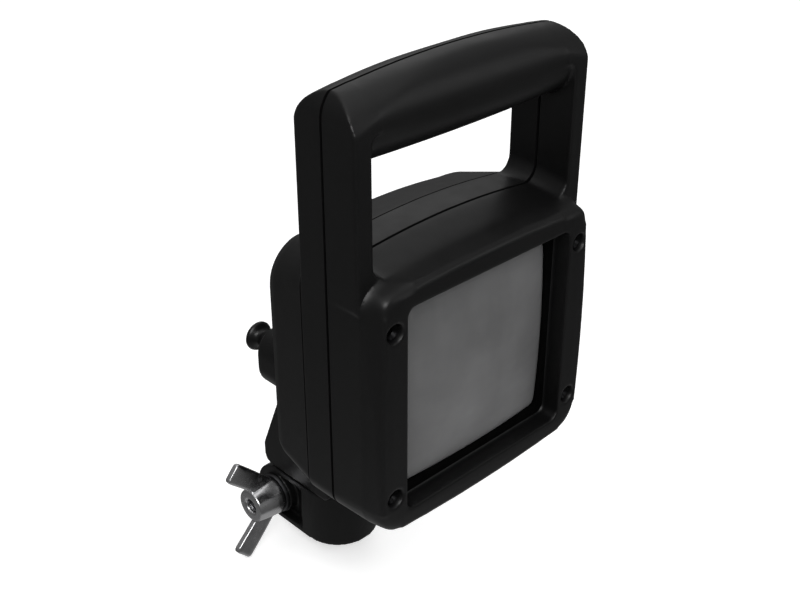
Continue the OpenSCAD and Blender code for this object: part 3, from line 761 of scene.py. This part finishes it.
class FLOODLIGHT_OT_mast(Operator):
    """Make the mast arm and the split pole clamp"""
    bl_idname = "floodlight.mast"
    bl_label = "Mast arm and clamp"

    def execute(self, context):
        sizes = context.scene.floodlight_sizes
        floor_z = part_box("mast_arm")[0].z
        wire_z, back_y = 110 * MM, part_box("mast_arm")[0].y
        # Plugs within the arm's walls, so that its hollow drops out of the skin
        reach = 6 * MM
        plugs = [block((-14 * MM, -10 * MM, floor_z + 0.6 * MM),
                       (14 * MM, 20 * MM, floor_z + 2.8 * MM)),
                 block((-reach, back_y + 0.3 * MM, wire_z - reach),
                       (reach, back_y + 2.8 * MM, wire_z + reach))]
        arm = joined("arm_shell", node_copy("mast_arm"), *plugs)
        skin(arm, sizes.mast_cell, sizes.mast_soften)
        settle(arm, "lamp", "housing", finish("housing_plastic"), "mast_arm")
        ring = skin(node_copy("pole_clamp"), sizes.mast_cell, sizes.mast_soften)
        ring.name = "clamp_ring"
        settle(ring, "lamp", "housing", finish("housing_plastic"), "pole_clamp")
        return {"FINISHED"}


class FLOODLIGHT_OT_wing_nut(Operator):
    """Make the cast wing nut: a turned hub with two drawn-out wings"""
    bl_idname = "floodlight.wing_nut"
    bl_label = "Wing nut"

    def execute(self, context):
        sizes = context.scene.floodlight_sizes
        centre = (NUT_X, BOLT.y, BOLT.z)
        # Hub: radius, distance out from the base
        hub = ((5.06, 0.0), (8.7, 0.0), (9.4, 0.5), (9.5, 1.4), (9.3, 4.0), (8.9, 8.0), (8.25, 13.3),
               (8.0, 13.85), (7.6, 14.0), (4.3, 14.0), (3.7, 13.6), (3.5, 13.0), (3.5, 11.8),
               (5.06, 11.6))
        profile = [(r * MM, d * MM) for r, d in hub]
        nut = turned("wing_nut_cast", profile, centre, (-1, 0, 0), 64, ring=True)
        # Stations of a wing: distance out from the base, height, half width and half thickness
        stations = ((4.0, 5.8, 4.6, 1.75), (9.4, 11.3, 4.7, 1.75), (15.5, 17.1, 4.9, 1.75),
                    (20.7, 21.9, 5.0, 1.75), (21.5, 22.65, 4.8, 1.7), (22.05, 23.2, 4.3, 1.5),
                    (22.2, 23.35, 3.6, 1.2))
        root, tip = stations[0], stations[3]
        along = Vector((tip[0] - root[0], tip[1] - root[1])).normalized()
        across = Vector((-along.y, along.x))
        points, boxy = 24, 0.3
        parts = [nut]
        for sign in (1, -1):
            loops = []
            for out, rise, wide, thick in stations:
                ring = []
                for i in range(points):
                    a = (i + 0.5) / points * TURN
                    s, c = math.sin(a), math.cos(a)
                    w = wide * math.copysign(abs(c) ** boxy, c)
                    t = thick * math.copysign(abs(s) ** boxy, s)
                    ring.append(Vector((
                        NUT_X - (out + across.x * w) * MM,
                        BOLT.y + t * MM,
                        BOLT.z + sign * (rise + across.y * w) * MM)))
                loops.append(ring)
            parts.append(drawn_up("wing", loops))
        nut = joined("wing_nut_cast", *parts)
        edit(nut)
        bpy.ops.transform.rotate(value=sizes.wing_lean, orient_axis="X", center_override=centre)
        bpy.ops.object.mode_set(mode="OBJECT")
        modify(nut, "REMESH", mode="VOXEL", voxel_size=sizes.nut_cell, adaptivity=0)
        modify(nut, "SMOOTH", factor=EASE, iterations=sizes.nut_soften)
        settle(nut, "nut", "bright_metal", finish("polished_zinc"), "wing_nut", smooth=60)
        return {"FINISHED"}


class FLOODLIGHT_OT_clamp_bolt(Operator):
    """Make the clamp's hexagon bolt and its washer"""
    bl_idname = "floodlight.clamp_bolt"
    bl_label = "Clamp bolt and washer"

    def execute(self, context):
        lo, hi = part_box("clamp_bolt")
        head_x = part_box("pole_clamp")[1].x
        head_h = hi.x - head_x
        hex_r, face_inset, rim_r, chamfer = 9.8 * MM, 1.2 * MM, 7.8 * MM, 0.7 * MM
        alone()
        bpy.ops.mesh.primitive_cylinder_add(
            vertices=6, radius=hex_r, depth=head_h, location=(head_x + head_h / 2, BOLT.y, BOLT.z),
            rotation=(0, TURN / 4, 0))
        head = bpy.context.object
        bpy.ops.object.transform_apply(location=True, rotation=True, scale=True)
        edit(head)
        pick(head, "FACE", lambda c, n: n.x > 0.9)
        bpy.ops.mesh.inset(thickness=face_inset)
        end_x = hi.x - 10 * MERGE
        pick(head, "EDGE", lambda c, d: c.x > end_x and math.hypot(c.y - BOLT.y, c.z - BOLT.z) > rim_r)
        bpy.ops.mesh.bevel(offset=chamfer, segments=3)
        close(head)
        shank_r, length = 5 * MM, head_x - lo.x + 1 * MM
        profile = [(0, 0), (4.1 * MM, 0), (4.7 * MM, 0.4 * MM), (shank_r, 0.9 * MM),
                   (shank_r, length), (0, length)]
        shank = turned("shank", profile, (lo.x, BOLT.y, BOLT.z), (1, 0, 0), 48)
        bolt = joined("hex_bolt", head, shank)
        settle(bolt, "lamp", "plated", finish("plated_steel"), "clamp_bolt")
        low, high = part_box("clamp_washer")
        thick, outer, inner = high.x - low.x, (high.z - low.z) / 2, 5.25 * MM
        e = 0.35 * MM
        ring = [(inner, e), (inner + e, 0), (outer - e, 0), (outer - 0.1 * MM, 0.1 * MM), (outer, e),
                (outer, thick - e), (outer - e, thick), (inner + e, thick), (inner, thick - e)]
        washer = turned("clamp_washer_ring", ring, (low.x, BOLT.y, BOLT.z), (1, 0, 0), 72, ring=True)
        # The washer's plated steel is painted darker, as painted shade from the wing nut's hub
        settle(washer, "lamp", "plated", finish("shaded_plated_steel"), "clamp_washer")
        return {"FINISHED"}


class FLOODLIGHT_OT_pull_knob(Operator):
    """Make the mushroom-shaped pull knob on its shaft"""
    bl_idname = "floodlight.pull_knob"
    bl_label = "Pull knob"

    def execute(self, context):
        lo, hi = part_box("switch_knob")
        centre = ((lo.x + hi.x) / 2, lo.y, (lo.z + hi.z) / 2)
        length = hi.y - lo.y
        # Head profile: radius, distance before the tip
        head = ((3.2, 8.3), (4.35, 8.3), (4.4, 8.0), (4.2, 7.4), (3.75, 6.4), (3.5, 5.4), (3.45, 4.7),
                (3.8, 3.9), (4.6, 3.15), (5.5, 2.6), (6.1, 2.05), (6.3, 1.45), (6.2, 0.95), (5.8, 0.5),
                (5.0, 0.22), (3.4, 0.05), (1.6, 0.0), (0, 0.0))
        profile = [(0, 0), (3.2 * MM, 0)] + [(r * MM, length - d * MM) for r, d in head]
        knob = turned("pull_knob", profile, centre, (0, 1, 0), 64)
        settle(knob, "knob", "knob", finish("knob_plastic"), "switch_knob", smooth=50)
        return {"FINISHED"}


class FLOODLIGHT_OT_inner_finishes(Operator):
    """Give each solid that stays as it is its finish"""
    bl_idname = "floodlight.inner_finishes"
    bl_label = "Finishes of the plain pieces"

    finishes = {
        "cover_seal": "matt_rubber", "reflector": "spun_metal",
        "retainer_frame": "plated_steel", "retainer_screws": "plated_steel",
        "bulb_glass": "clear_glass", "bulb_base": "plated_steel", "bulb_holder": "glazed_ceramic",
        "switch_body": "switch_moulding", "switch_bush": "plated_steel",
        "arm_screws": "plated_steel", "clamp_screws": "plated_steel",
        "contact_insulator": "insulator_moulding", "contact_pin": "satin_brass",
        "contact_nut": "satin_brass",
    }

    def execute(self, context):
        for node, key in self.finishes.items():
            obj = frame["nodes"][node]
            obj.data.materials.clear()
            obj.data.materials.append(finish(key))
        return {"FINISHED"}


class FLOODLIGHT_OT_stage(Operator):
    """Set the floor, the lights and the camera"""
    bl_idname = "floodlight.stage"
    bl_label = "Stage"

    def execute(self, context):
        setup = context.scene.floodlight_stage
        scene = context.scene
        scene.view_settings.view_transform = "Standard"
        floor_size, dome_r = 30, 14
        floor_mat, shader = glowing("pale_floor", 0.5)
        shader.inputs["Roughness"].default_value = 0.9
        wire(floor_mat, tint(floor_mat, grain(floor_mat, 3, 2), (0.93, 0.93, 0.93), 0.99, 1.0),
             shader.inputs["Base Color"])
        alone()
        bpy.ops.mesh.primitive_plane_add(size=floor_size, location=(0, 0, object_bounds()[0].z - 1 * MM))
        floor = bpy.context.object
        floor.name = "floor"
        floor.visible_glossy = False
        floor.data.materials.append(floor_mat)
        floor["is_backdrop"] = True
        # A pale dome that only the camera sees, so that no view meets the end of the floor
        dome_mat, shader = glowing("pale_dome", 0.9)
        shader.inputs["Base Color"].default_value = (0, 0, 0, 1)
        alone()
        bpy.ops.mesh.primitive_uv_sphere_add(segments=48, ring_count=24, radius=dome_r)
        dome = bpy.context.object
        dome.name = "dome"
        dome.visible_glossy = dome.visible_diffuse = False
        dome.visible_transmission = dome.visible_shadow = False
        dome.data.materials.append(dome_mat)
        dome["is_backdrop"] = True
        world = bpy.data.worlds.new("studio")
        scene.world = world
        world.use_nodes = True
        # A little light from below, dim around the lamp, a soft bright roof above it
        sky = world.node_tree.nodes["Background"]
        sky.inputs["Strength"].default_value = 2.2
        coords = add_node(world, "ShaderNodeTexCoord")
        parts = add_node(world, "ShaderNodeSeparateXYZ")
        height = add_node(world, "ShaderNodeMapRange", {"From Min": -1.0, "From Max": 1.0})
        ramp = add_node(world, "ShaderNodeValToRGB")
        stops = ramp.color_ramp.elements
        stops[0].position, stops[1].position = 0.0, 0.96
        for place in (0.11, 0.21, 0.5, 0.86):
            stops.new(place)
        for stop, shade in zip(stops, (0.17, 0.17, 0.045, 0.068, 0.12, 0.5)):
            stop.color = (shade, shade, shade, 1)
        wire(world, coords.outputs["Generated"], parts.inputs["Vector"])
        wire(world, parts.outputs["Z"], height.inputs["Value"])
        wire(world, height.outputs["Result"], ramp.inputs["Fac"])
        wire(world, ramp.outputs["Color"], sky.inputs["Color"])
        # Soft boxes: name, place, size and power
        aim = Vector((0, -0.06, 0.15))
        for name, place, size, power in (
                ("key", (-0.52, -0.62, 0.80), 0.6, 7.5), ("back", (0.92, 0.98, 1.10), 0.95, 2.0),
                ("side", (0.90, -1.08, 0.83), 0.7, 1.7)):
            light = bpy.data.lights.new(name, "AREA")
            light.shape = "SQUARE"
            light.size = size
            light.energy = power
            obj = bpy.data.objects.new(name, light)
            obj.location = place
            obj.rotation_euler = (aim - obj.location).to_track_quat("-Z", "Y").to_euler()
            scene.collection.objects.link(obj)
        camera = bpy.data.objects.new("camera", bpy.data.cameras.new("camera"))
        scene.collection.objects.link(camera)
        camera.data.sensor_width = 36
        camera.data.lens = setup.focal
        camera.data.clip_start = 0.01
        level = math.cos(setup.elevation)
        back = Vector((math.sin(setup.azimuth) * level, -math.cos(setup.azimuth) * level,
                       math.sin(setup.elevation)))
        camera.location = setup.eye
        camera.rotation_euler = back.to_track_quat("Z", "Y").to_euler()
        scene.camera = camera
        return {"FINISHED"}


OPERATORS = (
    FLOODLIGHT_OT_housing, FLOODLIGHT_OT_gasket, FLOODLIGHT_OT_lens, FLOODLIGHT_OT_front_screws,
    FLOODLIGHT_OT_mast, FLOODLIGHT_OT_wing_nut, FLOODLIGHT_OT_clamp_bolt, FLOODLIGHT_OT_pull_knob,
    FLOODLIGHT_OT_inner_finishes, FLOODLIGHT_OT_stage,
)


class FLOODLIGHT_PT_panel(Panel):
    """Lists the floodlight's pieces and sizes"""
    bl_label = "Floodlight"
    bl_idname = "FLOODLIGHT_PT_panel"
    bl_space_type = "VIEW_3D"
    bl_region_type = "UI"
    bl_category = "Floodlight"

    def draw(self, context):
        for group in ("floodlight_sizes", "floodlight_finish", "floodlight_stage"):
            settings = getattr(context.scene, group)
            for key in settings.__annotations__:
                self.layout.prop(settings, key)
        for operator in OPERATORS:
            self.layout.operator(operator.bl_idname)


GROUPS = (FloodlightSizes, FloodlightFinish, FloodlightStage)
CLASSES = (*GROUPS, *OPERATORS, FLOODLIGHT_PT_panel)


def register():
    for cls in CLASSES:
        bpy.utils.register_class(cls)
    bpy.types.Scene.floodlight_sizes = PointerProperty(type=FloodlightSizes)
    bpy.types.Scene.floodlight_finish = PointerProperty(type=FloodlightFinish)
    bpy.types.Scene.floodlight_stage = PointerProperty(type=FloodlightStage)


def unregister():
    del bpy.types.Scene.floodlight_stage
    del bpy.types.Scene.floodlight_finish
    del bpy.types.Scene.floodlight_sizes
    for cls in reversed(CLASSES):
        bpy.utils.unregister_class(cls)


def main():
    register()
    bpy.ops.floodlight.housing()
    bpy.ops.floodlight.gasket()
    bpy.ops.floodlight.lens()
    bpy.ops.floodlight.front_screws()
    bpy.ops.floodlight.mast()
    bpy.ops.floodlight.wing_nut()
    bpy.ops.floodlight.clamp_bolt()
    bpy.ops.floodlight.pull_knob()
    bpy.ops.floodlight.inner_finishes()
    bpy.ops.floodlight.stage()


if __name__ == "__main__":
    main()
